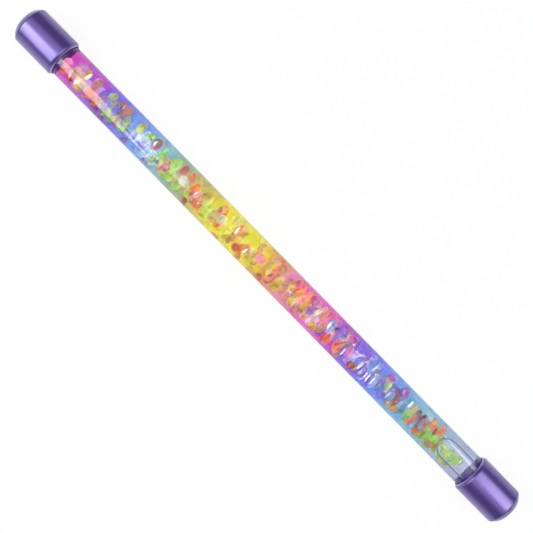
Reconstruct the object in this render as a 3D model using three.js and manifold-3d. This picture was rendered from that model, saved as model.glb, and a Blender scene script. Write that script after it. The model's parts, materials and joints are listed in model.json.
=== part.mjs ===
// Glitter water baton: a clear tube closed by a stopper and a cap at each end, lined with a
// rainbow film and filled with liquid in which round glitter flakes drift along the bore.
// It lies along X with its head at -X, its tail at +X and the air bubble at the tail.
// The origin is on the surface it lies on, under its middle. Sizes are in millimetres.
import * as THREE from 'three';
import { mergeVertices } from 'three/addons/utils/BufferGeometryUtils.js';
import Module from 'manifold-3d';

const wasm = await Module();
wasm.setup();

// Driving dimensions
const OVERALL_LENGTH = 319;
const SIDES = 24; // flats around every round piece, one of them facing down

const TUBE_DIAMETER = 16.4;
const TUBE_WALL = 1.2;

const CAP_WALL = 1.35;
const CAP_LENGTH = 25.7;
const CAP_END_WALL = 3;
const CAP_LIP = 0.3; // width of the flat rim left at the mouth
const MOUTH_BEVEL_LENGTH = 1.4;
const CROWN_BEVEL_LENGTH = 2.9;
const CROWN_BEVEL_HEIGHT = 4; // from the cap's side in to the flat crown
const CROWN_BEVEL_STEPS = 4;

const STOPPER_STEP_OUT = 0.8; // how far a stopper reaches past its cap's mouth
const STOPPER_FLANGE = 1.6;
const STOPPER_EDGE = 0.5;
const STOPPER_LAND = 4; // length of the full-width front, which seals the tube
const STOPPER_CORE_DIAMETER = 7;
const STOPPER_FRONT_WALL = 5;
const RIB_COUNT = 3;
const RIB_HEIGHT = 0.35;
const RIB_LENGTH = 1.5;
const RIB_PITCH = 4;

const FILM_THICKNESS = 0.3;
const FILM_SEAM = 0.8; // gap where the rolled film's long edges meet, at the bottom

const BUBBLE_LENGTH = 20.2;
const BUBBLE_WIDTH = 8.7;
const BUBBLE_DEPTH = 4;

const FLAKE_THICKNESS = 0.3;
const FLAKE_SIDES = 12;
const LANE_ENDS = [-1, 1, -1, -1, 1, -1, 1, 1]; // lanes round the bore: at the head (-1) or tail (1)
const FLAKES_PER_LANE = 6;
const LANE_STAGGER = 2.5; // how much further from its stop each next lane of an end starts
const LANE_GAP = 3; // degrees round the bore between flakes of neighbouring lanes
const MIDDLE_GAP = 4.2; // how far short of the baton's middle a lane's last flake lies

// Clearances
const GLUE_GAP = 0.2; // between a cap and the tube
const SEAT_GAP = 0.3; // between faces that meet end to end
const BORE_GAP = 0.1; // between the tube's bore and what is pushed into it
const FLAKE_GAP = 0.2; // between a flake and the film or the liquid
const END_PLAY = 0.5; // between a stopper or the bubble and the flake nearest to it

// Places along the baton, measured from its middle
const crownX = OVERALL_LENGTH / 2;
const mouthX = crownX - CAP_LENGTH;
const capFloorX = crownX - CAP_END_WALL;
const flangeX = capFloorX - SEAT_GAP - STOPPER_FLANGE;
const tubeEndX = flangeX - SEAT_GAP;
const stopperFaceX = mouthX - STOPPER_STEP_OUT;
const fillEndX = stopperFaceX - SEAT_GAP;
const bubbleNoseX = stopperFaceX - BUBBLE_LENGTH;

// Radii, each measured to the middle of a flat
const tubeRadius = TUBE_DIAMETER / 2;
const boreRadius = tubeRadius - TUBE_WALL;
const capBoreRadius = tubeRadius + GLUE_GAP;
const capRadius = capBoreRadius + CAP_WALL;
const ribRadius = boreRadius - BORE_GAP;
const shankRadius = ribRadius - RIB_HEIGHT;
const filmRadius = boreRadius - BORE_GAP;
const filmBoreRadius = filmRadius - FILM_THICKNESS;
const bubbleFloor = filmBoreRadius - BUBBLE_DEPTH;

// A flake lies flat across the bore as a chord, as wide as its lane lets it be, and the liquid's
// flats lie just under the flakes.
const lanes = LANE_ENDS.length;
const chordRadius = filmBoreRadius - FLAKE_GAP;
const halfSpan = Math.PI / lanes - THREE.MathUtils.degToRad(LANE_GAP) / 2;
const flakeRadius = chordRadius * Math.sin(halfSpan);
const flakeTop = chordRadius * Math.cos(halfSpan);
const flakeMiddle = flakeTop - FLAKE_THICKNESS / 2;
const liquidRadius = flakeTop - FLAKE_THICKNESS - FLAKE_GAP;
const outerFlakeX = stopperFaceX - END_PLAY - flakeRadius;
const flakePitch = (outerFlakeX - MIDDLE_GAP) / (FLAKES_PER_LANE - 1);

const finish = (color, roughness, metalness, opacity = 1) =>
  new THREE.MeshStandardMaterial({ color, roughness, metalness, opacity, transparent: opacity < 1 });

const capPaint = finish(0x5a3fae, 0.3, 0.8);
const stopperPlastic = finish(0x33196b, 0.5, 0);
const clearPlastic = finish(0xf2f4fa, 0.05, 0, 0.3);
const filmTint = finish(0xd7a0e0, 0.15, 0, 0.5);
const clearLiquid = finish(0xeaf0fb, 0.05, 0, 0.3);
const flakeTints = [
  finish(0xf08a3c, 0.2, 0.2, 0.7),
  finish(0xe8d23e, 0.2, 0.2, 0.7),
  finish(0x5ec46a, 0.2, 0.2, 0.7),
  finish(0x9a62d8, 0.2, 0.2, 0.7),
];

// Turns a profile of [radius, place along X] pairs into a solid round X with flats at the
// top, bottom and sides. Radii are given to the middle of a flat.
function turned(profile, sides = SIDES) {
  const halfSide = Math.PI / sides;
  const points = profile.map(([radius, x]) => new THREE.Vector2(radius / Math.cos(halfSide), x));
  return new THREE.LatheGeometry(points, sides, halfSide).rotateZ(-Math.PI / 2);
}

function mesh(name, geometry, material) {
  const piece = new THREE.Mesh(geometry, material);
  piece.name = name;
  return piece;
}

function solid(geometry) {
  const bare = geometry.clone();
  bare.deleteAttribute('normal');
  bare.deleteAttribute('uv');
  const merged = mergeVertices(bare);
  const vertProperties = new Float32Array(merged.attributes.position.array);
  const triVerts = new Uint32Array(merged.index.array);
  return new wasm.Manifold(new wasm.Mesh({ numProp: 3, vertProperties, triVerts }));
}

function geometryOf(body) {
  const { vertProperties, triVerts } = body.getMesh();
  const geometry = new THREE.BufferGeometry();
  geometry.setAttribute('position', new THREE.BufferAttribute(vertProperties, 3));
  geometry.setIndex(new THREE.BufferAttribute(triVerts, 1));
  return geometry;
}

// The clear tube runs from one stopper's flange to the other's.
function tubeGeometry() {
  return turned([
    [boreRadius, -tubeEndX],
    [tubeRadius, -tubeEndX],
    [tubeRadius, tubeEndX],
    [boreRadius, tubeEndX],
    [boreRadius, -tubeEndX],
  ]);
}

// The film is one sheet rolled into a tube, with an open seam along the bottom.
function filmGeometry() {
  const halfSide = Math.PI / SIDES;
  const corner = (radius, side) => {
    const angle = (2 * side + 1) * halfSide;
    const reach = radius / Math.cos(halfSide);
    return new THREE.Vector2(reach * Math.sin(angle), -reach * Math.cos(angle));
  };
  const edge = (radius, way) => new THREE.Vector2((way * FILM_SEAM) / 2, -radius);
  const sides = Array.from({ length: SIDES }, (_, side) => side);
  const outer = sides.map((side) => corner(filmRadius, side));
  const inner = sides.map((side) => corner(filmBoreRadius, side)).reverse();
  const section = new THREE.Shape([
    edge(filmRadius, 1),
    ...outer,
    edge(filmRadius, -1),
    edge(filmBoreRadius, -1),
    ...inner,
    edge(filmBoreRadius, 1),
  ]);
  const depth = 2 * fillEndX;
  const sheet = new THREE.ExtrudeGeometry(section, { depth, bevelEnabled: false });
  // The section is drawn with Y up, so it is stood up and then laid along X.
  return sheet.rotateX(Math.PI / 2).rotateZ(Math.PI / 2).translate(-fillEndX, 0, 0);
}

// The liquid has one flat under each lane of flakes. The air bubble is a round-nosed hollow
// along its top, open at the tail stopper.
function liquidGeometry() {
  const profile = [
    [0, -fillEndX],
    [liquidRadius, -fillEndX],
    [liquidRadius, fillEndX],
    [0, fillEndX],
  ];
  const core = turned(profile, lanes);
  const noseRadius = BUBBLE_WIDTH / 2;
  const noseX = bubbleNoseX + noseRadius;
  const plan = new THREE.Shape();
  plan.moveTo(stopperFaceX, -noseRadius);
  plan.lineTo(stopperFaceX, noseRadius);
  plan.lineTo(noseX, noseRadius);
  plan.absarc(noseX, 0, noseRadius, Math.PI / 2, 1.5 * Math.PI);
  const upward = { depth: BUBBLE_DEPTH, bevelEnabled: false, curveSegments: SIDES };
  const hollow = new THREE.ExtrudeGeometry(plan, upward);
  hollow.translate(0, 0, bubbleFloor);
  return geometryOf(solid(core).subtract(solid(hollow)));
}

// A stopper has a full-width front, a shank with sealing ribs, a flange that seats on the tube's
// end and a core hole from behind.
function stopperGeometry() {
  const profile = [
    [0, stopperFaceX],
    [ribRadius - STOPPER_EDGE, stopperFaceX],
    [ribRadius, stopperFaceX + STOPPER_EDGE],
    [ribRadius, stopperFaceX + STOPPER_LAND],
    [shankRadius, stopperFaceX + STOPPER_LAND + STOPPER_EDGE],
  ];
  for (let rib = 1; rib <= RIB_COUNT; rib += 1) {
    const ribX = stopperFaceX + STOPPER_LAND + rib * RIB_PITCH;
    profile.push([shankRadius, ribX], [ribRadius, ribX + RIB_LENGTH / 3]);
    profile.push([ribRadius, ribX + (2 * RIB_LENGTH) / 3], [shankRadius, ribX + RIB_LENGTH]);
  }
  profile.push([shankRadius, flangeX], [tubeRadius, flangeX]);
  profile.push([tubeRadius, flangeX + STOPPER_FLANGE]);
  profile.push([STOPPER_CORE_DIAMETER / 2, flangeX + STOPPER_FLANGE]);
  profile.push([STOPPER_CORE_DIAMETER / 2, stopperFaceX + STOPPER_FRONT_WALL]);
  profile.push([0, stopperFaceX + STOPPER_FRONT_WALL]);
  return turned(profile);
}

// A cap has a bore for the tube, a bevelled mouth, and a sharp shoulder from which a rounded
// bevel runs to the flat crown.
function capGeometry() {
  const shoulderX = crownX - CROWN_BEVEL_LENGTH;
  const profile = [
    [0, capFloorX],
    [capBoreRadius, capFloorX],
    [capBoreRadius, mouthX],
    [capBoreRadius + CAP_LIP, mouthX],
    [capRadius, mouthX + MOUTH_BEVEL_LENGTH],
    [capRadius, shoulderX],
  ];
  for (let step = 1; step <= CROWN_BEVEL_STEPS; step += 1) {
    const share = step / CROWN_BEVEL_STEPS;
    const bulge = Math.sin((share * Math.PI) / 2);
    profile.push([capRadius - CROWN_BEVEL_HEIGHT * share, shoulderX + CROWN_BEVEL_LENGTH * bulge]);
  }
  profile.push([0, crownX]);
  return turned(profile);
}

// A flake is a thin disc lying square to local Z.
function flakeGeometry() {
  const disc = new THREE.CylinderGeometry(flakeRadius, flakeRadius, FLAKE_THICKNESS, FLAKE_SIDES);
  return disc.rotateX(Math.PI / 2);
}

// One lane of flakes, turned round the bore from the top. It rests in the half of the baton at its
// own end, and each next lane of an end starts a little further from its stop. That is a stopper
// or, in an upper lane at the tail, the nose of the bubble.
function flakeLane(lane) {
  const row = new THREE.Group();
  row.rotation.x = (lane * 2 * Math.PI) / lanes;
  const end = LANE_ENDS[lane];
  const lanesBefore = LANE_ENDS.slice(0, lane).filter((other) => other === end).length;
  const topEdge = flakeTop * Math.cos(row.rotation.x) + flakeRadius * Math.abs(Math.sin(row.rotation.x));
  const stopX = end > 0 && topEdge > bubbleFloor ? bubbleNoseX : stopperFaceX;
  const startX = stopX - END_PLAY - flakeRadius - lanesBefore * LANE_STAGGER;
  for (let place = 0; place < FLAKES_PER_LANE; place += 1) {
    const tint = flakeTints[(lane + place) % flakeTints.length];
    const flake = mesh(`flake_${lane + 1}_${place + 1}`, flakeGeometry(), tint);
    flake.position.set(end * (startX - place * flakePitch), 0, flakeMiddle);
    row.add(flake);
  }
  return row;
}

const baton = new THREE.Group();
baton.position.z = capRadius;

baton.add(mesh('clear_tube', tubeGeometry(), clearPlastic));
baton.add(mesh('rainbow_film', filmGeometry(), filmTint));
baton.add(mesh('liquid_fill', liquidGeometry(), clearLiquid));

const ends = [['tail', 0], ['head', Math.PI]];
for (const [name, turn] of ends) {
  const closure = new THREE.Group();
  closure.rotation.z = turn;
  closure.add(mesh(`${name}_stopper`, stopperGeometry(), stopperPlastic));
  closure.add(mesh(`${name}_cap`, capGeometry(), capPaint));
  baton.add(closure);
}

for (let lane = 0; lane < lanes; lane += 1) {
  baton.add(flakeLane(lane));
}

export default baton;
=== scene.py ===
import json
import math

import bmesh
import bpy
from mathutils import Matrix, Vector

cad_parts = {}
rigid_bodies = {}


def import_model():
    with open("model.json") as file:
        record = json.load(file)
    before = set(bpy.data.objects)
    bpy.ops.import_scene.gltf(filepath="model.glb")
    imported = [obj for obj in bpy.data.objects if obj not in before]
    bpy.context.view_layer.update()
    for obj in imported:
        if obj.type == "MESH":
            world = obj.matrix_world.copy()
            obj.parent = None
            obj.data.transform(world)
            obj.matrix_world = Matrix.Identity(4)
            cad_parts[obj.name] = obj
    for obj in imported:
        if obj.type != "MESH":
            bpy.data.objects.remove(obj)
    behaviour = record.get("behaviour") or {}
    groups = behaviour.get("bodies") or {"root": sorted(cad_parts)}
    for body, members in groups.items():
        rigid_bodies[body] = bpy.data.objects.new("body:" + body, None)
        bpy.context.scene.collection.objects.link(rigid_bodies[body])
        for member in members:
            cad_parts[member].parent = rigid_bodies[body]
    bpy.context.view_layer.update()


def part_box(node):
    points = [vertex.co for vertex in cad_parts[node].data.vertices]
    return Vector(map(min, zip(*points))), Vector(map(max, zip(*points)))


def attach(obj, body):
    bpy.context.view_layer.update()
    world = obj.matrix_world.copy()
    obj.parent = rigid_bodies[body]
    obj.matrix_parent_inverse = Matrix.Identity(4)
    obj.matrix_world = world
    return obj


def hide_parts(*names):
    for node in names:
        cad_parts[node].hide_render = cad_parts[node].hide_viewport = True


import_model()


# Clear tube
# The real piece is a length of clear plastic tube, extruded, so faint draw lines run along it.
# It is cut square at both ends and glued into the caps.
MM = 0.001
WHITE = (1.0, 1.0, 1.0, 1.0)
ROUND_STEPS = 96
SHARP_ANGLE = math.radians(30)
TUBE_WALL = 1.2 * MM
TUBE_EDGE = 0.2 * MM
TUBE_END_RING = 1.0 * MM
TUBE_IOR = 1.49
LIQUID_IOR = 1.4
TUBE_HAZE = 0.05
WALL_HAZE = 0.01
HAZE_PATCHES = {"scale": 60, "stretch": (0.1, 1, 1)}
DRAW_LINES = {"scale": 900, "stretch": (0.004, 1, 1)}
DRAW_LINE_STRENGTH = 0.06
DRAW_LINE_DEPTH = 0.05 * MM
LAMP_LIGHT_PASSED = (0.98, 0.98, 0.99, 1.0)

tube_low, tube_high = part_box("clear_tube")
AXIS_Z = (tube_low.z + tube_high.z) / 2
TUBE_RADIUS = (tube_high.z - tube_low.z) / 2
BORE_RADIUS = TUBE_RADIUS - TUBE_WALL


def softened(profile, size, steps=4):
    """The profile with its inner corners rounded off, each over the given length."""
    points = [Vector(point) for point in profile]
    result = [points[0]]
    for before, corner, after in zip(points, points[1:], points[2:]):
        reach_in = min(size, (before - corner).length / 2)
        reach_out = min(size, (after - corner).length / 2)
        start = corner + (before - corner).normalized() * reach_in
        end = corner + (after - corner).normalized() * reach_out
        for step in range(steps + 1):
            share = step / steps
            result.append(start.lerp(corner, share).lerp(corner.lerp(end, share), share))
    result.append(points[-1])
    return [tuple(point) for point in result]


def turned(profile, steps=ROUND_STEPS):
    """A closed mesh, with the (x, radius) profile turned round the baton's axis."""
    shape = bmesh.new()
    rings = []
    for x, radius in profile:
        if radius == 0:
            rings.append([shape.verts.new((x, 0, AXIS_Z))] * steps)
            continue
        ring = []
        for step in range(steps):
            angle = 2 * math.pi * step / steps
            place = (x, radius * math.sin(angle), AXIS_Z + radius * math.cos(angle))
            ring.append(shape.verts.new(place))
        rings.append(ring)
    if profile[0] == profile[-1]:
        for vertex in rings.pop():
            shape.verts.remove(vertex)
        rings.append(rings[0])
    for near, far in zip(rings, rings[1:]):
        for step in range(steps):
            after = (step + 1) % steps
            corners = dict.fromkeys([near[step], near[after], far[after], far[step]])
            shape.faces.new(list(corners))
    return shape


def add_piece(name, shape, material, body, nodes):
    """Puts the shape in the scene as a piece that rides on a body in place of CAD nodes."""
    mesh = bpy.data.meshes.new(name)
    bmesh.ops.recalc_face_normals(shape, faces=shape.faces)
    shape.to_mesh(mesh)
    shape.free()
    mesh.shade_smooth()
    mesh.set_sharp_from_angle(angle=SHARP_ANGLE)
    mesh.materials.append(material)
    piece = bpy.data.objects.new(name, mesh)
    bpy.context.scene.collection.objects.link(piece)
    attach(piece, body)
    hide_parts(*nodes)
    return piece


class Look:
    """A material with an empty node tree, and short ways to fill it."""

    def __init__(self, name):
        self.material = bpy.data.materials.new(name)
        self.material.use_nodes = True
        self.tree = self.material.node_tree
        self.tree.nodes.clear()

    def node(self, kind, inputs=None, **settings):
        """Adds a node. An input is a plain value, or the output socket that feeds it."""
        made = self.tree.nodes.new(kind)
        for name, value in settings.items():
            setattr(made, name, value)
        for name, value in (inputs or {}).items():
            if isinstance(value, bpy.types.NodeSocket):
                self.tree.links.new(value, made.inputs[name])
            else:
                made.inputs[name].default_value = value
        return made

    def stored(self, name):
        """The value that the mesh stores under the name."""
        return self.node("ShaderNodeAttribute", attribute_name=name).outputs["Fac"]

    def place(self):
        """The object coordinates."""
        return self.node("ShaderNodeTexCoord").outputs["Object"]

    def noise(self, scale, stretch=(1, 1, 1)):
        """The factor of a noise in object coordinates."""
        sized = self.node("ShaderNodeMapping", {"Vector": self.place(), "Scale": stretch})
        made = self.node("ShaderNodeTexNoise", {"Vector": sized.outputs["Vector"], "Scale": scale})
        return made.outputs["Fac"]

    def between(self, value, low, high, start=0.0, end=1.0):
        """The value moved from the range start to end to the range low to high."""
        made = self.node(
            "ShaderNodeMapRange",
            {"Value": value, "From Min": start, "From Max": end, "To Min": low, "To Max": high},
        )
        return made.outputs["Result"]

    def bump(self, height, strength, distance):
        """A normal bent by the height."""
        made = self.node(
            "ShaderNodeBump", {"Height": height, "Strength": strength, "Distance": distance}
        )
        return made.outputs["Normal"]

    def mix(self, share, first, second):
        """The first shader, with that share of the second in it."""
        made = self.node("ShaderNodeMixShader", {0: share, 1: first, 2: second})
        return made.outputs[0]

    def blend(self, share, first, second):
        """The first colour, with that share of the second in it."""
        made = self.node("ShaderNodeMix", {0: share, 6: first, 7: second}, data_type="RGBA")
        return made.outputs[2]

    def clear_to_lamps(self, shader, tint):
        """The shader, except that lamp light passes straight through it with a tint."""
        open_way = self.node("ShaderNodeBsdfTransparent", {"Color": tint}).outputs[0]
        is_shadow = self.node("ShaderNodeLightPath").outputs["Is Shadow Ray"]
        return self.mix(is_shadow, shader, open_way)

    def done(self, shader):
        """Takes the shader as the surface and returns the material."""
        self.node("ShaderNodeOutputMaterial", {"Surface": shader})
        return self.material


def ink(red, green, blue):
    """A colour from its screen values of 0 to 255, as the linear colour that nodes use."""
    def linear(value):
        share = value / 255
        return share / 12.92 if share <= 0.04045 else ((share + 0.055) / 1.055) ** 2.4
    return (linear(red), linear(green), linear(blue), 1.0)


def clear_look(name, index, haze):
    """A clear material that bends light by the index, with faint lines drawn along the tube."""
    look = Look(name)
    shine = look.node(
        "ShaderNodeBsdfPrincipled",
        {
            "Base Color": WHITE,
            "Roughness": look.between(look.noise(**HAZE_PATCHES), 0.0, haze),
            "IOR": index,
            "Transmission Weight": 1.0,
            "Normal": look.bump(look.noise(**DRAW_LINES), DRAW_LINE_STRENGTH, DRAW_LINE_DEPTH),
        },
    )
    return look.done(look.clear_to_lamps(shine.outputs[0], LAMP_LIGHT_PASSED))


tube_plastic = clear_look("tube_plastic", TUBE_IOR, TUBE_HAZE)
wet_wall = clear_look("wet_wall", TUBE_IOR / LIQUID_IOR, WALL_HAZE)

tube_profile = softened([
    (tube_low.x, (BORE_RADIUS + TUBE_RADIUS) / 2),
    (tube_low.x, TUBE_RADIUS),
    (tube_high.x, TUBE_RADIUS),
    (tube_high.x, BORE_RADIUS),
    (tube_low.x, BORE_RADIUS),
    (tube_low.x, (BORE_RADIUS + TUBE_RADIUS) / 2),
], TUBE_EDGE)
# Two more rings on the outer wall keep the shading of its tail half straight.
tail_edge = next(step for step, (x, radius) in enumerate(tube_profile) if x > 0)
tube_profile[tail_edge:tail_edge] = [
    (0.0, TUBE_RADIUS), (tube_high.x - TUBE_END_RING, TUBE_RADIUS),
]
tube = add_piece(
    "tube", turned(tube_profile), tube_plastic, "baton", ["clear_tube"]
)
tube.data.materials.append(wet_wall)
for face in tube.data.polygons:
    if (face.center.yz - Vector((0, AXIS_Z))).length < BORE_RADIUS:
        face.material_index = 1


# Rainbow film
# The real piece is a thin clear sheet with a printed see-through rainbow, rolled once and slid
# into the tube. Its long edges meet at the bottom, the print is strongest on the underside, and
# the last stretch before the tail stopper is left unprinted.
FILM_THICKNESS = 0.1 * MM
FILM_CLEARANCE = 0.35 * MM
FILM_RADIUS = BORE_RADIUS - FILM_CLEARANCE
FILM_SEAM = 0.04 * MM
FILM_OVERLAP = 0.6 * MM
FILM_STEPS = 90
FILM_BODY = 0.12
FILM_TOP_SHARE = 0.2
FULL_PRINT_HEIGHT = AXIS_Z - 0.2 * FILM_RADIUS
FAINT_PRINT_HEIGHT = AXIS_Z + 0.7 * FILM_RADIUS
PRINT_END = 124 * MM
PRINT_FADE = 20 * MM
PRINT_MOTTLING = (0.8, 1.15)
TINT_PER_FACE = 0.5
UNPRINTED = ink(194, 202, 226)
RAINBOW_START = -126 * MM
RAINBOW_PERIOD = 166 * MM
RAINBOW_TURNS = 1.335
RAINBOW_WANDER = 16 * MM
RAINBOW = [
    (0.00, ink(224, 96, 210)),
    (0.09, ink(180, 110, 230)),
    (0.16, ink(146, 138, 242)),
    (0.24, ink(142, 180, 246)),
    (0.33, ink(164, 210, 232)),
    (0.40, ink(174, 202, 188)),
    (0.47, ink(218, 206, 130)),
    (0.58, ink(244, 238, 78)),
    (0.70, ink(238, 234, 84)),
    (0.77, ink(236, 176, 104)),
    (0.83, ink(240, 182, 192)),
    (0.89, ink(236, 146, 210)),
    (1.00, ink(240, 112, 214)),
]
film_low, film_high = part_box("rainbow_film")


def ramp(maker, value, stops, interpolation="LINEAR"):
    """The colour of a ramp, through (place, colour) stops, at the value."""
    made = maker.node("ShaderNodeValToRGB", {"Fac": value})
    band = made.color_ramp
    band.interpolation = interpolation
    while len(band.elements) < len(stops):
        band.elements.new(0.5)
    for element, (place, colour) in zip(band.elements, stops):
        element.position = place
        element.color = colour
    return made.outputs["Color"]


look = Look("film")
place = look.node("ShaderNodeSeparateXYZ", {"Vector": look.place()})
wander = look.between(look.noise(150), -RAINBOW_WANDER, RAINBOW_WANDER)
shifted = look.node("ShaderNodeMath", {0: place.outputs["X"], 1: wander}, operation="ADD")
phase = look.between(
    shifted.outputs[0], 0.0, RAINBOW_TURNS,
    RAINBOW_START, RAINBOW_START + RAINBOW_TURNS * RAINBOW_PERIOD,
)
turn = look.node("ShaderNodeMath", {0: phase, 1: 1.0, 2: 0.0}, operation="WRAP")
rainbow = ramp(look, turn.outputs[0], RAINBOW)
tail_fade = look.between(place.outputs["X"], 0.0, 1.0, PRINT_END - PRINT_FADE, PRINT_END)
printed = look.blend(tail_fade, rainbow, UNPRINTED)
mottled = look.node(
    "ShaderNodeHueSaturation",
    {"Color": printed, "Value": look.between(look.noise(900), *PRINT_MOTTLING)},
).outputs[0]
print_share = look.between(
    place.outputs["Z"], 1.0, FILM_TOP_SHARE, FULL_PRINT_HEIGHT, FAINT_PRINT_HEIGHT
)
paled = look.blend(print_share, WHITE, mottled)
face_tint = look.node("ShaderNodeGamma", {"Color": paled, "Gamma": TINT_PER_FACE}).outputs[0]
clear_tint = look.node("ShaderNodeBsdfTransparent", {"Color": face_tint})
sheet_body = look.node("ShaderNodeBsdfDiffuse", {"Color": mottled})
body_share = look.between(print_share, 0.0, FILM_BODY, FILM_TOP_SHARE, 1.0)
film_look = look.done(look.mix(body_share, clear_tint.outputs[0], sheet_body.outputs[0]))


def rolled(low_x, high_x, radius, thickness, seam, steps=FILM_STEPS):
    """A closed thin sheet rolled round the baton's axis, with a seam at the bottom."""
    shape = bmesh.new()
    section = []
    for reach in (radius, radius - thickness):
        half_seam = math.asin(seam / 2 / reach)
        arc = []
        for step in range(steps + 1):
            angle = half_seam + (2 * math.pi - 2 * half_seam) * step / steps
            arc.append((reach * math.sin(angle), AXIS_Z - reach * math.cos(angle)))
        section += arc if reach == radius else arc[::-1]
    ends = [[shape.verts.new((x, y, z)) for y, z in section] for x in (low_x, high_x)]
    count = len(section)
    for step in range(count):
        after = (step + 1) % count
        shape.faces.new([ends[0][step], ends[0][after], ends[1][after], ends[1][step]])
    for end in ends:
        for step in range(steps):
            across = count - 1 - step
            shape.faces.new([end[step], end[step + 1], end[across - 1], end[across]])
    return shape


sheet = rolled(
    film_low.x - FILM_OVERLAP, film_high.x + FILM_OVERLAP,
    FILM_RADIUS, FILM_THICKNESS, FILM_SEAM,
)
add_piece("film", sheet, film_look, "baton", ["rainbow_film"])


# Stoppers
# Each is a moulded plug of dark purple plastic with sealing ribs and a flange. It is pressed
# into the tube's end with its flange against the tube's edge.
STOPPER_PRESS = 0.02 * MM
STOPPER_FRONT = BORE_RADIUS + STOPPER_PRESS
RIB_CLEARANCE = 0.1 * MM
RIB_HEIGHT = 0.35 * MM
RIB_WIDTH = 0.5 * MM
RIB_PLACES = (8 * MM, 12 * MM, 16 * MM)
STOPPER_RIB = BORE_RADIUS - RIB_CLEARANCE
STOPPER_SHANK = STOPPER_RIB - RIB_HEIGHT
STOPPER_SLOPE = 0.5 * MM
STOPPER_HEAD = 4 * MM
STOPPER_FLOOR = 5 * MM
STOPPER_CORE = 3.5 * MM
STOPPER_FLANGE = 1.6 * MM
STOPPER_EDGE = 0.2 * MM
STOPPER_STEPS = 64

look = Look("stopper_plastic")
stopper_shine = look.node(
    "ShaderNodeBsdfPrincipled",
    {
        "Base Color": ramp(
            look, look.noise(300), [(0.3, ink(50, 22, 104)), (0.7, ink(66, 34, 128))]
        ),
        "Roughness": look.between(look.noise(900), 0.4, 0.5),
        "Specular IOR Level": 0.2,
        "Normal": look.bump(look.noise(1500), 0.1, 0.1 * MM),
    },
)
stopper_plastic = look.done(stopper_shine.outputs[0])

for end_name, way in (("head", -1), ("tail", 1)):
    low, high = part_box(end_name + "_stopper")
    face = min(abs(low.x), abs(high.x))
    back = max(abs(low.x), abs(high.x))
    profile = [
        (face, 0),
        (face, STOPPER_FRONT - STOPPER_SLOPE),
        (face + STOPPER_SLOPE, STOPPER_FRONT),
        (face + STOPPER_HEAD, STOPPER_FRONT),
        (face + STOPPER_HEAD + STOPPER_SLOPE, STOPPER_SHANK),
    ]
    for rib in RIB_PLACES:
        profile += [
            (face + rib, STOPPER_SHANK),
            (face + rib + STOPPER_SLOPE, STOPPER_RIB),
            (face + rib + STOPPER_SLOPE + RIB_WIDTH, STOPPER_RIB),
            (face + rib + 2 * STOPPER_SLOPE + RIB_WIDTH, STOPPER_SHANK),
        ]
    profile += [
        (back - STOPPER_FLANGE, STOPPER_SHANK),
        (back - STOPPER_FLANGE, TUBE_RADIUS),
        (back, TUBE_RADIUS),
        (back, STOPPER_CORE),
        (face + STOPPER_FLOOR, STOPPER_CORE),
        (face + STOPPER_FLOOR, 0),
    ]
    placed = [(way * x, radius) for x, radius in softened(profile, STOPPER_EDGE, steps=3)]
    add_piece(
        end_name + "_plug", turned(placed, STOPPER_STEPS), stopper_plastic,
        "baton", [end_name + "_stopper"],
    )


# Liquid and air bubble
# The real tube is filled with a clear liquid, poured in before the last stopper is pressed home,
# and a long bubble of air stays along the top at the tail end.
STOPPER_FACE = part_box("tail_stopper")[0].x
LIQUID_REACH = 0.6 * MM
LIQUID_END = STOPPER_FACE + LIQUID_REACH
LIQUID_CLEARANCE = 0.02 * MM
LIQUID_RADIUS = BORE_RADIUS - LIQUID_CLEARANCE
LIQUID_EDGE = 0.15 * MM
LIQUID_SHARP_ANGLE = math.radians(50)
BUBBLE_NOSE = 112.8 * MM
BUBBLE_NOSE_LENGTH = 6.2 * MM
BUBBLE_REACH = 0.3 * MM
BUBBLE_END = STOPPER_FACE + BUBBLE_REACH
BUBBLE_HALF_WIDTH = 4.35 * MM
BUBBLE_CLEARANCE = 0.05 * MM
BUBBLE_TOP = FILM_RADIUS - FILM_THICKNESS - BUBBLE_CLEARANCE
BUBBLE_FLOOR = 2.6 * MM
BUBBLE_RIM_SHARE = 0.31
BUBBLE_STEPS = 64
NOSE_STEPS = 20

liquid_side = clear_look("liquid_side", 1.0, 0.0)
bubble_skin = clear_look("bubble_skin", LIQUID_IOR, 0.0)


def bubble_ring(x):
    """The bubble's cross-section at x: the tube's arc above, level below, and rounded rims."""
    into_nose = max(0.0, 1 - (x - BUBBLE_NOSE) / BUBBLE_NOSE_LENGTH)
    half_width = BUBBLE_HALF_WIDTH * math.sqrt(1 - into_nose ** 2)
    rim = BUBBLE_RIM_SHARE * (math.sqrt(BUBBLE_TOP ** 2 - half_width ** 2) - BUBBLE_FLOOR)
    ring = []
    for step in range(BUBBLE_STEPS):
        angle = 2 * math.pi * step / BUBBLE_STEPS
        y = half_width * math.cos(angle)
        from_outline = BUBBLE_HALF_WIDTH * (1 - math.hypot(into_nose, y / BUBBLE_HALF_WIDTH))
        into_rim = max(0.0, rim - from_outline)
        inset = rim - math.sqrt(max(rim ** 2 - into_rim ** 2, 0.0))
        upper = math.sqrt(BUBBLE_TOP ** 2 - y ** 2) - inset
        lower = BUBBLE_FLOOR + inset
        ring.append((x, y, AXIS_Z + (upper if math.sin(angle) > 0 else lower)))
    return ring


liquid = turned(softened([
    (-LIQUID_END, 0), (-LIQUID_END, LIQUID_RADIUS), (LIQUID_END, LIQUID_RADIUS), (LIQUID_END, 0),
], LIQUID_EDGE))
bmesh.ops.recalc_face_normals(liquid, faces=liquid.faces)

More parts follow.
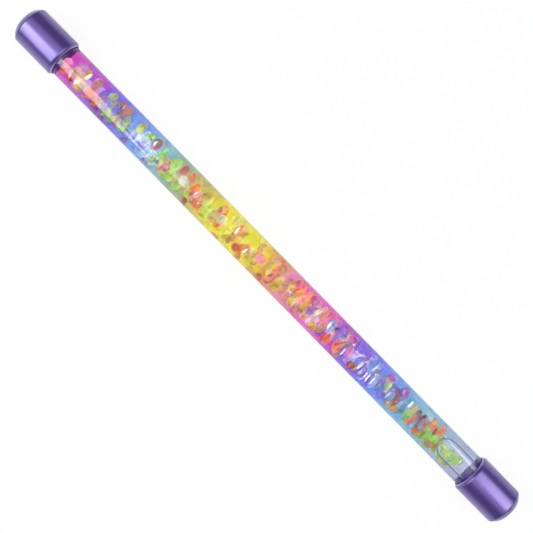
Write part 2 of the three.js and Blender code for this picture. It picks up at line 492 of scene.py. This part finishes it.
# The bubble is a hollow in the liquid, so its faces look inwards.
hollow = bmesh.new()
stations = [
    BUBBLE_NOSE + BUBBLE_NOSE_LENGTH * (step / NOSE_STEPS) ** 2
    for step in range(1, NOSE_STEPS + 1)
]
stations.append(BUBBLE_END)
rings = [[hollow.verts.new(point) for point in bubble_ring(x)] for x in stations]
for near, far in zip(rings, rings[1:]):
    for step in range(len(near)):
        after = (step + 1) % len(near)
        hollow.faces.new([near[step], near[after], far[after], far[step]])
for ring in (rings[0], rings[-1]):
    middle = hollow.verts.new(sum((vertex.co for vertex in ring), Vector()) / len(ring))
    for step in range(len(ring)):
        hollow.faces.new([middle, ring[step], ring[(step + 1) % len(ring)]])
bmesh.ops.recalc_face_normals(hollow, faces=hollow.faces)
bmesh.ops.reverse_faces(hollow, faces=hollow.faces)
for face in hollow.faces:
    face.material_index = 1
mesh = bpy.data.meshes.new("bubble_hollow")
hollow.to_mesh(mesh)
hollow.free()
liquid.from_mesh(mesh)
bpy.data.meshes.remove(mesh)

mesh = bpy.data.meshes.new("liquid")
liquid.to_mesh(mesh)
liquid.free()
mesh.shade_smooth()
mesh.set_sharp_from_angle(angle=LIQUID_SHARP_ANGLE)
mesh.materials.append(liquid_side)
mesh.materials.append(bubble_skin)
liquid_piece = bpy.data.objects.new("liquid", mesh)
bpy.context.scene.collection.objects.link(liquid_piece)
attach(liquid_piece, "baton")
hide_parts("liquid_fill")


# Glitter flakes
# The real flakes are thin see-through iridescent discs and ovals, stamped from film, loose in the
# liquid. They drift along the bore in eight lanes round it, each lane a body of its own.
LANES = 8
FLAKES_PER_LANE = 6
FLAKE_SIDES = 12
FLAKE_RINGS = 2
FLAKE_VISUAL_THICKNESS = 0.06 * MM
FLAKE_CURL = 0.22 * MM
FLAKE_TURN = 0.4
DRAWS = (
    "place", "sideways", "height", "tilt", "lean", "turn",
    "size", "tint", "shine", "half turn", "width",
)
ANY_TINT = (0.0, 1.0)
WARM_TINT = (0.0, 0.35)
WARM_TO_GREEN = (0.0, 0.54)
LIME_TINT = (0.27, 0.45)
GREEN_TO_BLUE = (0.35, 0.62)
COOL_TINT = (0.54, 1.0)
PINK_TINT = (0.62, 0.95)
PINK_TO_CLEAR = (0.71, 1.0)
CLEAR_TINT = (0.86, 1.0)
ANY_SHINE = (0.0, 1.0)
MORE_SHINE = (0.0, 0.2)
SIDE_ROOM = 5.4 * MM
HEAD_HEIGHTS = (0.7, 1.5)
TAIL_HEIGHTS = (-2.1, -1.1)
HEAD_NEAR = {"sideways": (-1.0, -0.28), "heights": HEAD_HEIGHTS}
HEAD_FAR = {"sideways": (-0.28, 0.98), "heights": HEAD_HEIGHTS}
HEAD_EDGE = {"sideways": (0.58, 0.98), "heights": HEAD_HEIGHTS}
TAIL_NEAR = {"sideways": (-0.85, -0.28), "heights": TAIL_HEIGHTS}
TAIL_FAR = {"sideways": (-0.28, 0.82), "heights": TAIL_HEIGHTS}
TAIL_EDGE = {"sideways": (0.5, 0.82), "heights": TAIL_HEIGHTS}
BELOW_BUBBLE = {"sideways": (-0.95, -0.25), "heights": TAIL_HEIGHTS}


def loose(amount, tints, span, sideways, heights, shine=ANY_SHINE):
    """Flakes that lie nearly level inside the ring of lanes.

    The span is in shares of the lane's length and sideways in shares of the free room. The
    heights are in millimetres above the axis.
    """
    return {
        "Count": amount,
        "First tint": tints[0],
        "Last tint": tints[1],
        "span": span,
        "Least sideways": sideways[0],
        "Most sideways": sideways[1],
        "Lowest height": heights[0] * MM,
        "Highest height": heights[1] * MM,
        "First shine": shine[0],
        "Last shine": shine[1],
    }


OUTER_CLOUDS = [
    (9, COOL_TINT), (12, WARM_TINT), (14, PINK_TO_CLEAR), (18, PINK_TO_CLEAR),
    (24, ANY_TINT), (10, CLEAR_TINT), (8, CLEAR_TINT), (12, PINK_TO_CLEAR),
]
INNER_CLOUDS = {
    0: [
        loose(10, WARM_TINT, (0.0, 0.2), **HEAD_NEAR),
        loose(16, WARM_TO_GREEN, (0.45, 0.76), **HEAD_NEAR),
        loose(12, WARM_TINT, (0.76, 1.0), **HEAD_NEAR),
        loose(8, PINK_TINT, (0.0, 0.45), **HEAD_FAR),
        loose(7, GREEN_TO_BLUE, (0.2, 0.5), **HEAD_FAR),
        loose(10, WARM_TO_GREEN, (0.45, 1.0), **HEAD_FAR),
        loose(6, WARM_TINT, (0.05, 0.45), **HEAD_EDGE),
        loose(5, GREEN_TO_BLUE, (0.2, 0.55), **HEAD_EDGE),
        loose(5, WARM_TINT, (0.55, 1.0), **HEAD_EDGE),
        loose(8, COOL_TINT, (0.33, 0.52), **HEAD_NEAR),
        loose(6, WARM_TO_GREEN, (0.2, 0.33), **HEAD_NEAR),
    ],
    4: [
        loose(13, WARM_TINT, (0.0, 0.42), **TAIL_NEAR),
        loose(7, PINK_TINT, (0.1, 0.42), **TAIL_NEAR),
        loose(16, COOL_TINT, (0.4, 0.66), **TAIL_NEAR, shine=MORE_SHINE),
        loose(6, WARM_TO_GREEN, (0.64, 0.9), **TAIL_NEAR),
        loose(6, GREEN_TO_BLUE, (0.62, 0.9), **TAIL_NEAR),
        loose(6, WARM_TINT, (0.0, 0.25), **TAIL_FAR),
        loose(4, PINK_TINT, (0.2, 0.42), **TAIL_FAR),
        loose(10, COOL_TINT, (0.1, 0.66), **TAIL_FAR, shine=MORE_SHINE),
        loose(4, WARM_TO_GREEN, (0.62, 0.9), **TAIL_FAR),
        loose(4, GREEN_TO_BLUE, (0.6, 0.9), **TAIL_FAR),
        loose(5, WARM_TINT, (0.0, 0.4), **TAIL_EDGE),
        loose(5, COOL_TINT, (0.3, 0.7), **TAIL_EDGE),
        loose(8, LIME_TINT, (0.8, 1.0), **BELOW_BUBBLE),
    ],
}
OUTER_SIDEWAYS = (-0.03, 0.03)
OUTER_SIZES = (0.86, 0.97)
OUTER_WIDTHS = (0.7, 1.0)
OUTER_TILT = math.radians(6)
OUTER_SEED = 100
INNER_SIZES = (0.92, 1.26)
INNER_WIDTHS = (0.6, 1.0)
INNER_TILT = math.radians(14)
INNER_SEED = 200
INNER_SEED_STEP = 10

low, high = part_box("flake_1_1")
FLAKE_RADIUS = (high.x - low.x) / 2
FLAKE_SEAT = (low.z + high.z) / 2 - AXIS_Z
OUTER_HEIGHTS = (FLAKE_SEAT - 0.17 * MM, FLAKE_SEAT + 0.1 * MM)

FLAKE_TINTS = [
    (0.00, ink(238, 140, 72), 0.55),
    (0.13, ink(206, 82, 76), 0.5),
    (0.20, ink(212, 170, 124), 0.42),
    (0.27, ink(220, 210, 76), 0.5),
    (0.35, ink(180, 218, 70), 0.5),
    (0.45, ink(158, 204, 120), 0.4),
    (0.54, ink(126, 180, 220), 0.35),
    (0.62, ink(148, 114, 212), 0.4),
    (0.71, ink(232, 134, 182), 0.4),
    (0.80, ink(250, 250, 255), 0.1),
]
FLAKE_FADE = 0.22
FLAKE_GLOW = 0.35
FLAKE_GLINT = 0.07
FACET_SCALE = 560.0
FACET_HUES = (0.46, 0.54)
FACET_VALUES = (0.62, 1.26)
SATURATIONS = (0.8, 1.2)
RIM_COVER = 0.22
RIM_REACH = (0.75, 0.95)
HOT_SPOT_SHARE = 0.11
HOT_SPOT_STEP = 0.01
HOT_SPOT_GLINT = 0.85
HOT_SPOT_REACH = (0.16, 0.36)
HOT_SPOT_PLACE = 0.4
HOT_SPOT_STRETCH = 0.45

look = Look("flakes")
tint_place = look.stored("tint")
rim_place = look.stored("rim")
shine_place = look.stored("shine")
spot_place = look.stored("spot")
tints = [(place, (*colour[:3], cover)) for place, colour, cover in FLAKE_TINTS]
flat_tint = ramp(look, tint_place, tints, "CONSTANT")
facets = look.node("ShaderNodeTexVoronoi", {"Vector": look.place(), "Scale": FACET_SCALE})
facet = look.node("ShaderNodeSeparateColor", {"Color": facets.outputs["Color"]})
tint = look.node(
    "ShaderNodeHueSaturation",
    {
        "Color": flat_tint,
        "Hue": look.between(facet.outputs["Red"], *FACET_HUES),
        "Saturation": look.between(look.noise(420), *SATURATIONS),
        "Value": look.between(facet.outputs["Green"], *FACET_VALUES),
    },
).outputs["Color"]
pale_tint = look.node("ShaderNodeGamma", {"Color": tint, "Gamma": FLAKE_FADE}).outputs[0]
see_through = look.node("ShaderNodeBsdfTransparent", {"Color": pale_tint})
lit_side = look.node("ShaderNodeBsdfDiffuse", {"Color": tint})
glow_through = look.node("ShaderNodeBsdfTranslucent", {"Color": tint})
flake_body = look.mix(FLAKE_GLOW, lit_side.outputs[0], glow_through.outputs[0])
rim_cover = look.between(rim_place, 0.0, RIM_COVER, *RIM_REACH)
cover = look.node(
    "ShaderNodeMath", {0: flat_tint.node.outputs["Alpha"], 1: rim_cover},
    operation="ADD", use_clamp=True,
)
flake_film = look.mix(cover.outputs[0], see_through.outputs[0], flake_body)
crinkle = look.bump(look.noise(900), 0.7, 0.3 * MM)
glint = look.node("ShaderNodeBsdfGlossy", {"Roughness": 0.07, "Normal": crinkle})
is_hot = look.between(
    shine_place, HOT_SPOT_GLINT, 0.0, HOT_SPOT_SHARE, HOT_SPOT_SHARE + HOT_SPOT_STEP
)
in_spot = look.between(spot_place, 1.0, 0.0, *HOT_SPOT_REACH)
hot_spot = look.node("ShaderNodeMath", {0: is_hot, 1: in_spot}, operation="MULTIPLY")
glint_share = look.node(
    "ShaderNodeMath", {0: hot_spot.outputs[0], 1: FLAKE_GLINT}, operation="MAXIMUM"
)
flake_look = look.done(look.mix(glint_share.outputs[0], flake_film, glint.outputs[0]))


class Cloud:
    """A node tree that scatters flakes along a lane and turns the lane round the bore."""

    def __init__(self):
        self.tree = bpy.data.node_groups.new("flake_cloud", "GeometryNodeTree")
        self.ids = {}
        self.given = self.tree.nodes.new("NodeGroupInput")
        self.tree.interface.new_socket(
            "Geometry", in_out="OUTPUT", socket_type="NodeSocketGeometry"
        )

    def input(self, name, kind):
        """A named input of the tree, as the socket that gives its value."""
        made = self.tree.interface.new_socket(name, in_out="INPUT", socket_type=kind)
        self.ids[name] = made.identifier
        return self.given.outputs[name]

    def node(self, kind, inputs=None, **settings):
        """Adds a node. A named input is the one of that name that is in use."""
        made = self.tree.nodes.new(kind)
        for name, value in settings.items():
            setattr(made, name, value)
        for name, value in (inputs or {}).items():
            socket = made.inputs[name]
            if not isinstance(name, int):
                socket = next(s for s in made.inputs if s.name == name and s.enabled)
            if isinstance(value, bpy.types.NodeSocket):
                self.tree.links.new(value, socket)
            else:
                socket.default_value = value
        return made

    def out(self, made):
        """The node's first output that is in use."""
        return next(s for s in made.outputs if s.enabled)

    def sum(self, kind, first, second):
        """The result of a sum of that kind."""
        return self.out(self.node("ShaderNodeMath", {0: first, 1: second}, operation=kind))

    def chance(self, low, high, draw):
        """A random value between low and high for each flake, from the draw of that name."""
        seed = self.sum("ADD", self.seed, DRAWS.index(draw) + 1)
        made = self.node(
            "FunctionNodeRandomValue",
            {"Min": low, "Max": high, "ID": self.index, "Seed": seed}, data_type="FLOAT",
        )
        return self.out(made)

    def choose(self, when, no, yes):
        """One of two values."""
        made = self.node(
            "GeometryNodeSwitch", {"Switch": when, "False": no, "True": yes}, input_type="FLOAT"
        )
        return self.out(made)


cloud = Cloud()
angle = cloud.input("Lane angle", "NodeSocketFloat")
first_x = cloud.input("First place", "NodeSocketFloat")
pitch = cloud.input("Pitch", "NodeSocketFloat")
fixed = cloud.input("Flakes at set places", "NodeSocketInt")
seat = cloud.input("Seat radius", "NodeSocketFloat")
low_x = cloud.input("Low end", "NodeSocketFloat")
length = cloud.input("Length", "NodeSocketFloat")
count = cloud.input("Count", "NodeSocketInt")
low_height = cloud.input("Lowest height", "NodeSocketFloat")
high_height = cloud.input("Highest height", "NodeSocketFloat")
low_aside = cloud.input("Least sideways", "NodeSocketFloat")
high_aside = cloud.input("Most sideways", "NodeSocketFloat")
tilt = cloud.input("Tilt", "NodeSocketFloat")
low_tint = cloud.input("First tint", "NodeSocketFloat")
high_tint = cloud.input("Last tint", "NodeSocketFloat")
low_shine = cloud.input("First shine", "NodeSocketFloat")
high_shine = cloud.input("Last shine", "NodeSocketFloat")
low_size = cloud.input("Smallest size", "NodeSocketFloat")
high_size = cloud.input("Largest size", "NodeSocketFloat")
low_width = cloud.input("Narrowest", "NodeSocketFloat")
high_width = cloud.input("Widest", "NodeSocketFloat")
cloud.seed = cloud.input("Seed", "NodeSocketInt")
cloud.index = cloud.out(cloud.node("GeometryNodeInputIndex"))

is_fixed = cloud.out(cloud.node(
    "FunctionNodeCompare", {"A": cloud.index, "B": fixed}, data_type="INT", operation="LESS_THAN"
))
set_x = cloud.sum("ADD", first_x, cloud.sum("MULTIPLY", pitch, cloud.index))
loose_count = cloud.sum("SUBTRACT", count, fixed)
loose_index = cloud.sum("SUBTRACT", cloud.index, fixed)
strip = cloud.sum("DIVIDE", length, loose_count)
strips_passed = cloud.sum("ADD", loose_index, cloud.chance(0.0, 1.0, "place"))
loose_x = cloud.sum("ADD", low_x, cloud.sum("MULTIPLY", strip, strips_passed))
flake_size = cloud.choose(is_fixed, cloud.chance(low_size, high_size, "size"), 1.0)
flake_width = cloud.choose(is_fixed, cloud.chance(low_width, high_width, "width"), 1.0)
side_room = cloud.sum("SUBTRACT", SIDE_ROOM, cloud.sum("MULTIPLY", flake_size, FLAKE_RADIUS))
aside = cloud.sum("MULTIPLY", side_room, cloud.chance(low_aside, high_aside, "sideways"))
least_tilt = cloud.sum("MULTIPLY", tilt, -1.0)
flake_place = cloud.node("ShaderNodeCombineXYZ", {
    "X": cloud.choose(is_fixed, loose_x, set_x),
    "Y": cloud.choose(is_fixed, aside, 0.0),
    "Z": cloud.choose(is_fixed, cloud.chance(low_height, high_height, "height"), seat),
})
is_turned = cloud.sum("GREATER_THAN", cloud.chance(0.0, 1.0, "half turn"), 0.5)
half_turn = cloud.sum("MULTIPLY", is_turned, math.pi)
flake_turn = cloud.node("ShaderNodeCombineXYZ", {
    "X": cloud.choose(is_fixed, cloud.chance(least_tilt, tilt, "tilt"), 0.0),
    "Y": cloud.choose(is_fixed, cloud.chance(least_tilt, tilt, "lean"), 0.0),
    "Z": cloud.sum("ADD", cloud.chance(-FLAKE_TURN, FLAKE_TURN, "turn"), half_turn),
})
disc = cloud.node("GeometryNodeMeshCylinder", {
    "Vertices": FLAKE_SIDES, "Side Segments": 1, "Fill Segments": FLAKE_RINGS,
    "Radius": FLAKE_RADIUS, "Depth": FLAKE_VISUAL_THICKNESS,
}, fill_type="TRIANGLE_FAN")
spot = cloud.out(cloud.node("GeometryNodeInputPosition"))
parts = cloud.node("ShaderNodeSeparateXYZ", {"Vector": spot})
flat_spot = cloud.node("ShaderNodeCombineXYZ", {"X": parts.outputs["X"], "Y": parts.outputs["Y"]})
reach = cloud.node("ShaderNodeVectorMath", {0: flat_spot.outputs[0]}, operation="LENGTH")
rim = cloud.sum("DIVIDE", reach.outputs["Value"], FLAKE_RADIUS)
rimmed = cloud.node("GeometryNodeStoreNamedAttribute", {
    "Geometry": disc.outputs["Mesh"], "Name": "rim", "Value": rim,
}, data_type="FLOAT", domain="POINT")
drawn_out = cloud.node("ShaderNodeCombineXYZ", {
    "X": parts.outputs["X"],
    "Y": cloud.sum("MULTIPLY", parts.outputs["Y"], HOT_SPOT_STRETCH),
})
from_spot = cloud.node("ShaderNodeVectorMath", {
    0: drawn_out.outputs[0], 1: (HOT_SPOT_PLACE * FLAKE_RADIUS, 0.0, 0.0),
}, operation="DISTANCE")
spotted = cloud.node("GeometryNodeStoreNamedAttribute", {
    "Geometry": rimmed.outputs[0], "Name": "spot",
    "Value": cloud.sum("DIVIDE", from_spot.outputs["Value"], FLAKE_RADIUS),
}, data_type="FLOAT", domain="POINT")
bend = cloud.sum("POWER", cloud.sum("DIVIDE", parts.outputs["X"], FLAKE_RADIUS), 2.0)
lifted = cloud.node("ShaderNodeCombineXYZ", {
    "Z": cloud.sum("MULTIPLY", cloud.sum("SUBTRACT", bend, 0.5), FLAKE_CURL),
})
curled = cloud.node("GeometryNodeSetPosition", {
    "Geometry": spotted.outputs[0], "Offset": lifted.outputs[0],
})
flake_scale = cloud.node("ShaderNodeCombineXYZ", {
    "X": cloud.sum("MULTIPLY", flake_size, flake_width), "Y": flake_size, "Z": flake_size,
})
points = cloud.node("GeometryNodePoints", {"Count": count, "Position": flake_place.outputs[0]})
turn_by = cloud.node("FunctionNodeEulerToRotation", {"Euler": flake_turn.outputs[0]})
scattered = cloud.node("GeometryNodeInstanceOnPoints", {
    "Points": points.outputs[0], "Instance": curled.outputs[0],
    "Rotation": turn_by.outputs[0],
})
cloud.tree.links.new(flake_scale.outputs[0], scattered.inputs["Scale"])
tinted = cloud.node("GeometryNodeStoreNamedAttribute", {
    "Geometry": scattered.outputs[0], "Name": "tint",
    "Value": cloud.chance(low_tint, high_tint, "tint"),
}, data_type="FLOAT", domain="INSTANCE")
shining = cloud.node("GeometryNodeStoreNamedAttribute", {
    "Geometry": tinted.outputs[0], "Name": "shine",
    "Value": cloud.chance(low_shine, high_shine, "shine"),
}, data_type="FLOAT", domain="INSTANCE")
solid = cloud.node("GeometryNodeRealizeInstances", {"Geometry": shining.outputs[0]})
lane_turn = cloud.node("ShaderNodeCombineXYZ", {"X": angle})
lane_rotation = cloud.node("FunctionNodeEulerToRotation", {"Euler": lane_turn.outputs[0]})
placed = cloud.node("GeometryNodeTransform", {
    "Geometry": solid.outputs[0], "Translation": (0.0, 0.0, AXIS_Z),
    "Rotation": lane_rotation.outputs[0],
})
painted = cloud.node(
    "GeometryNodeSetMaterial", {"Geometry": placed.outputs[0], "Material": flake_look}
)
leave = cloud.tree.nodes.new("NodeGroupOutput")
cloud.tree.links.new(painted.outputs[0], leave.inputs["Geometry"])


def scatter(values):
    """The plain mesh that the node tree makes from the named input values."""
    mesh = bpy.data.meshes.new("flakes")
    holder = bpy.data.objects.new("flakes", mesh)
    bpy.context.scene.collection.objects.link(holder)
    modifier = holder.modifiers.new("cloud", "NODES")
    modifier.node_group = cloud.tree
    for name, value in values.items():
        modifier[cloud.ids[name]] = value
    holder.update_tag()
    bpy.context.view_layer.update()
    shown = holder.evaluated_get(bpy.context.evaluated_depsgraph_get())
    made = bpy.data.meshes.new_from_object(shown)
    bpy.data.objects.remove(holder)
    bpy.data.meshes.remove(mesh)
    return made


for lane in range(LANES):
    nodes = [f"flake_{lane + 1}_{place + 1}" for place in range(FLAKES_PER_LANE)]
    first_low, first_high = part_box(nodes[0])
    last_low, last_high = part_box(nodes[-1])
    start = (first_low.x + first_high.x) / 2
    stop = (last_low.x + last_high.x) / 2
    low_end = min(start, stop)
    common = {
        "First place": start,
        "Pitch": (stop - start) / (FLAKES_PER_LANE - 1),
        "Seat radius": FLAKE_SEAT,
        "Low end": low_end,
        "Length": abs(stop - start),
    }
    outer = scatter(common | {
        "Lane angle": lane * 2 * math.pi / LANES,
        "Flakes at set places": FLAKES_PER_LANE,
        "Count": OUTER_CLOUDS[lane][0],
        "First tint": OUTER_CLOUDS[lane][1][0],
        "Last tint": OUTER_CLOUDS[lane][1][1],
        "First shine": ANY_SHINE[0],
        "Last shine": ANY_SHINE[1],
        "Lowest height": OUTER_HEIGHTS[0],
        "Highest height": OUTER_HEIGHTS[1],
        "Least sideways": OUTER_SIDEWAYS[0],
        "Most sideways": OUTER_SIDEWAYS[1],
        "Smallest size": OUTER_SIZES[0],
        "Largest size": OUTER_SIZES[1],
        "Narrowest": OUTER_WIDTHS[0],
        "Widest": OUTER_WIDTHS[1],
        "Tilt": OUTER_TILT,
        "Seed": OUTER_SEED + lane,
    })
    shape = bmesh.new()
    shape.from_mesh(outer)
    for number, cloud_limits in enumerate(INNER_CLOUDS.get(lane, [])):
        values = common | cloud_limits
        span_start, span_stop = values.pop("span")
        inner = scatter(values | {
            "Lane angle": 0.0,
            "Flakes at set places": 0,
            "Smallest size": INNER_SIZES[0],
            "Largest size": INNER_SIZES[1],
            "Narrowest": INNER_WIDTHS[0],
            "Widest": INNER_WIDTHS[1],
            "Low end": low_end + span_start * common["Length"],
            "Length": (span_stop - span_start) * common["Length"],
            "Tilt": INNER_TILT,
            "Seed": INNER_SEED + INNER_SEED_STEP * lane + number,
        })
        shape.from_mesh(inner)
    add_piece(
        f"flakes_{lane + 1}", shape, flake_look, f"glitter_{lane + 1}", nodes,
    )


# Caps
# Each is a moulded plastic cap with a purple metallic lacquer, a bevelled mouth and a crisp
# shoulder from which a rounded bevel runs to the flat crown. It is glued over the tube's end.
CAP_WALL = 1.35 * MM
MOUTH_BEVEL = 1.4 * MM
CAP_LIP = 0.3 * MM
CROWN_BEVEL = 2.9 * MM
CROWN_RADIUS = 5.7 * MM
CROWN_STEPS = 8
CAP_FLOOR = 3 * MM
CAP_EDGE = 0.45 * MM
CAP_STEPS = 128
# A pale band painted round the lip of each cap's mouth is a painted highlight, for the glint that
# the lip's edge catches.
LIP_HIGHLIGHT_REACH = (0.3 * MM, 0.6 * MM)
LIP_HIGHLIGHT_COLOUR = ink(150, 134, 194)

look = Look("cap_paint")
paint = ramp(look, look.noise(2500), [(0.35, ink(66, 26, 142)), (0.65, ink(76, 36, 154))])
along = look.node("ShaderNodeSeparateXYZ", {"Vector": look.place()}).outputs["X"]
from_middle = look.node("ShaderNodeMath", {0: along}, operation="ABSOLUTE").outputs[0]
mouth_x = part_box("tail_cap")[0].x
# Painted highlight: the mask of the pale band over the lip, just inside the mouth.
painted_lip_highlight = look.between(from_middle, 1.0, 0.0, mouth_x + LIP_HIGHLIGHT_REACH[0], mouth_x + LIP_HIGHLIGHT_REACH[1])
cap_shine = look.node(
    "ShaderNodeBsdfPrincipled",
    {
        "Base Color": look.blend(painted_lip_highlight, paint, LIP_HIGHLIGHT_COLOUR),
        "Metallic": 0.75,
        "Roughness": look.between(look.noise(120), 0.36, 0.44),
        "Coat Weight": 1.0,
        "Coat Roughness": 0.3,
        "Coat IOR": 1.95,
        "Normal": look.bump(look.noise(3000), 0.08, 0.05 * MM),
    },
)
cap_paint = look.done(cap_shine.outputs[0])

for end_name, way in (("head", -1), ("tail", 1)):
    low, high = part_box(end_name + "_cap")
    crown = max(abs(low.x), abs(high.x))
    mouth = min(abs(low.x), abs(high.x))
    outside = (high.z - low.z) / 2
    inside = outside - CAP_WALL
    profile = [
        (crown - CAP_FLOOR, 0),
        (crown - CAP_FLOOR, inside),
        (mouth, inside),
        (mouth, inside + CAP_LIP),
        (mouth + MOUTH_BEVEL, outside),
        (crown - CROWN_BEVEL, outside),
    ]
    for step in range(1, CROWN_STEPS + 1):
        share = step / CROWN_STEPS
        rise = math.sin(share * math.pi / 2)
        radius = outside - (outside - CROWN_RADIUS) * share
        profile.append((crown - CROWN_BEVEL * (1 - rise), radius))
    profile.append((crown, 0))
    placed = [(way * x, radius) for x, radius in softened(profile, CAP_EDGE, steps=5)]
    add_piece(
        end_name + "_end_cap", turned(placed, CAP_STEPS), cap_paint,
        "baton", [end_name + "_cap"],
    )


# Floor, lights and camera
# The baton lies on a white table in a white room. Level lamp panels beyond its ends give the
# highlights, a wide one higher up lights the rest, and the camera looks straight down.
PANEL_HEIGHT = 0.8
CEILING_HEIGHT = 1.4
TABLE_REACH = 4
TABLE_TONES = [(0.4, (0.9, 0.9, 0.9, 1.0)), (0.6, (0.92, 0.92, 0.92, 1.0))]
TABLE_SEEN_WHITE = 0.92
ROOM_LIGHT = 0.25
LIGHT_BOUNCES = 24
CLEAR_BOUNCES = 64
CAMERA_PLACE = (0.00015, -0.00043, AXIS_Z + 0.4702)
CAMERA_TURN = math.radians(45.506)
CAMERA_LENS = 68.29
CAMERA_SENSOR = 36


def softbox(name, low, high, height, strength):
    """A level lamp panel between two (x, y) corners, whose surface has that brightness."""
    lamp = bpy.data.lights.new(name, "AREA")
    lamp.shape = "RECTANGLE"
    lamp.size = high[0] - low[0]
    lamp.size_y = high[1] - low[1]
    lamp.energy = strength * math.pi * lamp.size * lamp.size_y
    holder = bpy.data.objects.new(name, lamp)
    holder.location = ((low[0] + high[0]) / 2, (low[1] + high[1]) / 2, height)
    holder.visible_camera = False
    bpy.context.scene.collection.objects.link(holder)


softbox("head_panel", (-0.66, -1.5), (-0.365, -0.12), PANEL_HEIGHT, strength=6.5)
softbox("middle_panel", (-0.365, -0.4), (-0.18, -0.14), PANEL_HEIGHT, strength=2.4)
softbox("fading_panel", (-0.18, -0.38), (-0.11, -0.16), PANEL_HEIGHT, strength=1.3)
softbox("tail_panel", (0.38, -0.06), (0.62, 0.95), PANEL_HEIGHT, strength=4.8)
softbox("ceiling_panel", (-0.9, -0.9), (0.9, 0.9), CEILING_HEIGHT, strength=0.9)

look = Look("white_table")
lit = look.node("ShaderNodeBsdfDiffuse", {"Color": ramp(look, look.noise(4), TABLE_TONES)})
white = look.node("ShaderNodeEmission", {"Color": WHITE, "Strength": 1.0})
rays = look.node("ShaderNodeLightPath")
seen_straight = look.between(rays.outputs["Is Camera Ray"], 0.0, TABLE_SEEN_WHITE)
seen = look.node(
    "ShaderNodeMath", {0: seen_straight, 1: rays.outputs["Is Transmission Ray"]},
    operation="MAXIMUM",
)
white_table = look.done(look.mix(seen.outputs[0], lit.outputs[0], white.outputs[0]))

shape = bmesh.new()
corners = [(-1, -1), (1, -1), (1, 1), (-1, 1)]
shape.faces.new([shape.verts.new((TABLE_REACH * x, TABLE_REACH * y, 0)) for x, y in corners])
mesh = bpy.data.meshes.new("floor")
shape.to_mesh(mesh)
shape.free()
mesh.materials.append(white_table)
floor = bpy.data.objects.new("floor", mesh)
bpy.context.scene.collection.objects.link(floor)

scene = bpy.context.scene
world = bpy.data.worlds.new("white_room")
scene.world = world
world.use_nodes = True
backdrop = world.node_tree.nodes["Background"]
backdrop.inputs["Color"].default_value = WHITE
room_rays = world.node_tree.nodes.new("ShaderNodeLightPath")
room_seen = world.node_tree.nodes.new("ShaderNodeMath")
room_seen.operation = "MAXIMUM"
room_light = world.node_tree.nodes.new("ShaderNodeMapRange")
room_light.inputs["To Min"].default_value = ROOM_LIGHT
room_light.inputs["To Max"].default_value = 1.0
world.node_tree.links.new(room_rays.outputs["Is Camera Ray"], room_seen.inputs[0])
world.node_tree.links.new(room_rays.outputs["Is Transmission Ray"], room_seen.inputs[1])
world.node_tree.links.new(room_seen.outputs[0], room_light.inputs["Value"])
world.node_tree.links.new(room_light.outputs["Result"], backdrop.inputs["Strength"])

scene.view_settings.view_transform = "Standard"
scene.cycles.max_bounces = LIGHT_BOUNCES
scene.cycles.transmission_bounces = LIGHT_BOUNCES
scene.cycles.transparent_max_bounces = CLEAR_BOUNCES

camera = bpy.data.objects.new("camera", bpy.data.cameras.new("camera"))
camera.location = CAMERA_PLACE
camera.rotation_euler = (0, 0, CAMERA_TURN)
camera.data.lens = CAMERA_LENS
camera.data.sensor_width = CAMERA_SENSOR
scene.collection.objects.link(camera)
scene.camera = camera
